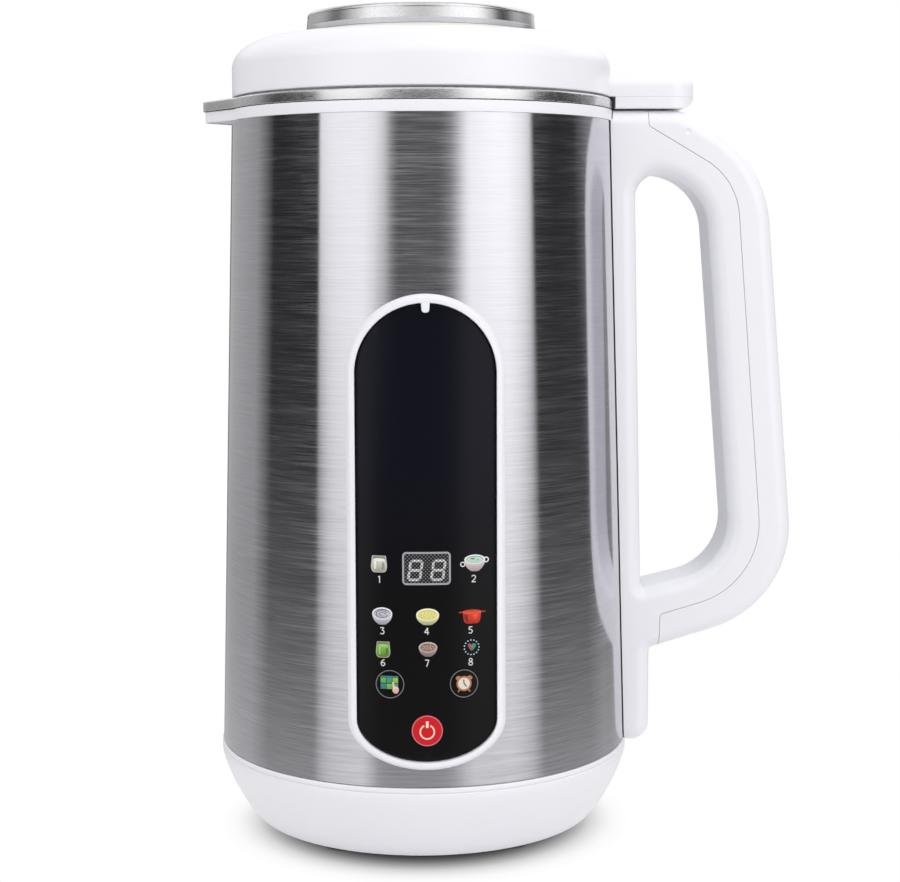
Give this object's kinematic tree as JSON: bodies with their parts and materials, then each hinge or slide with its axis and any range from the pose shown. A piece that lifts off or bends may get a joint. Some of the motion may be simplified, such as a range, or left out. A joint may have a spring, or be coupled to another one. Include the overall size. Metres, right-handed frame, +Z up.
{
  "type": "soy milk maker",
  "caption": "Countertop soy milk maker: a heated pot with motor-driven blades in a tapered steel body, with a loop handle, pouring lip, lift-off lid and front control panel.",
  "frame": {"origin": "on the body's axis, in the plane of the feet that it stands on", "axes": "+Z up along the body's axis, +X towards the handle, -X towards the pouring lip, -Y towards the control panel"},
  "size_m": [0.1976, 0.1421, 0.2709],
  "materials": {
    "white_plastic": "satin-gloss moulded white",
    "shell_steel": "stainless steel brushed round the body",
    "pot_steel": "fine satin stainless steel",
    "cap_steel": "polished stainless steel",
    "panel_black": "high-gloss black",
    "key_red": "glossy red",
    "dark_plastic": "matt moulded black",
    "grey_plastic": "matt grey",
    "foot_rubber": "matt grey rubber",
    "seal_silicone": "translucent white silicone, matt",
    "bolt_steel": "plain zinc-plated steel",
    "cast_aluminium": "as cast",
    "copper": "varnished copper winding",
    "carbon": "pressed carbon",
    "circuit_board": "green solder mask"
  },
  "bodies": {
    "body": {"base_shell": "white_plastic", "bottom_cover": "dark_plastic", "foot_front_left": "foot_rubber", "foot_front_right": "foot_rubber", "foot_rear_left": "foot_rubber", "foot_rear_right": "foot_rubber", "bottom_screw_1": "bolt_steel", "bottom_screw_2": "bolt_steel", "bottom_screw_3": "bolt_steel", "power_board": "circuit_board", "power_relay": "dark_plastic", "filter_capacitor": "grey_plastic", "inner_frame": "dark_plastic", "motor_bracket_lower": "cast_aluminium", "lower_bearing": "bolt_steel", "brush_left": "carbon", "brush_right": "carbon", "stator_core": "bolt_steel", "field_coil_upper": "copper", "field_coil_lower": "copper", "motor_bracket_upper": "cast_aluminium", "heating_plate": "cast_aluminium", "thermostat": "dark_plastic", "bearing_housing": "pot_steel", "upper_bearing": "bolt_steel", "shaft_seal": "foot_rubber", "inner_pot": "pot_steel", "outer_shell": "shell_steel", "collar": "white_plastic", "panel_frame": "white_plastic", "panel_cover": "panel_black", "control_board": "circuit_board", "function_switch": "dark_plastic", "timer_switch": "dark_plastic", "power_switch": "dark_plastic", "display_module": "grey_plastic", "power_inlet": "dark_plastic", "handle_inner": "white_plastic", "handle_cover": "white_plastic", "handle_screw_upper": "bolt_steel", "handle_screw_lower": "bolt_steel", "coupler_socket": "dark_plastic", "coupler_cable": "dark_plastic"},
    "rotor": {"motor_shaft": "bolt_steel", "armature": "copper", "commutator": "copper", "cooling_fan": "white_plastic", "blade_lower": "pot_steel", "blade_upper": "pot_steel", "blade_nut": "pot_steel"},
    "lid": {"lid_dome": "white_plastic", "lid_cap": "cap_steel", "lid_inner_cover": "white_plastic", "lid_seal": "seal_silicone", "overflow_probe": "pot_steel", "tab_base": "white_plastic", "coupler_plug": "dark_plastic"},
    "function_button": {"function_key": "panel_black"},
    "timer_button": {"timer_key": "panel_black"},
    "power_button": {"power_key": "key_red"}
  },
  "joints": [
    {"name": "rotor_spin", "type": "hinge", "parent": "body", "child": "rotor", "pos_m": [0, 0, 0.1], "axis": [0, 0, 1], "continuous": true},
    {"name": "lid_lift", "type": "slide", "parent": "body", "child": "lid", "axis": [0, 0, 1], "range_m": [0, 0.06]},
    {"name": "function_press", "type": "slide", "parent": "body", "child": "function_button", "axis": [0, 1, 0], "range_m": [0, 0.0005], "stiffness_N_per_m": 400},
    {"name": "timer_press", "type": "slide", "parent": "body", "child": "timer_button", "axis": [0, 1, 0], "range_m": [0, 0.0005], "stiffness_N_per_m": 400},
    {"name": "power_press", "type": "slide", "parent": "body", "child": "power_button", "axis": [0, 1, 0], "range_m": [0, 0.0005], "stiffness_N_per_m": 400}
  ]
}
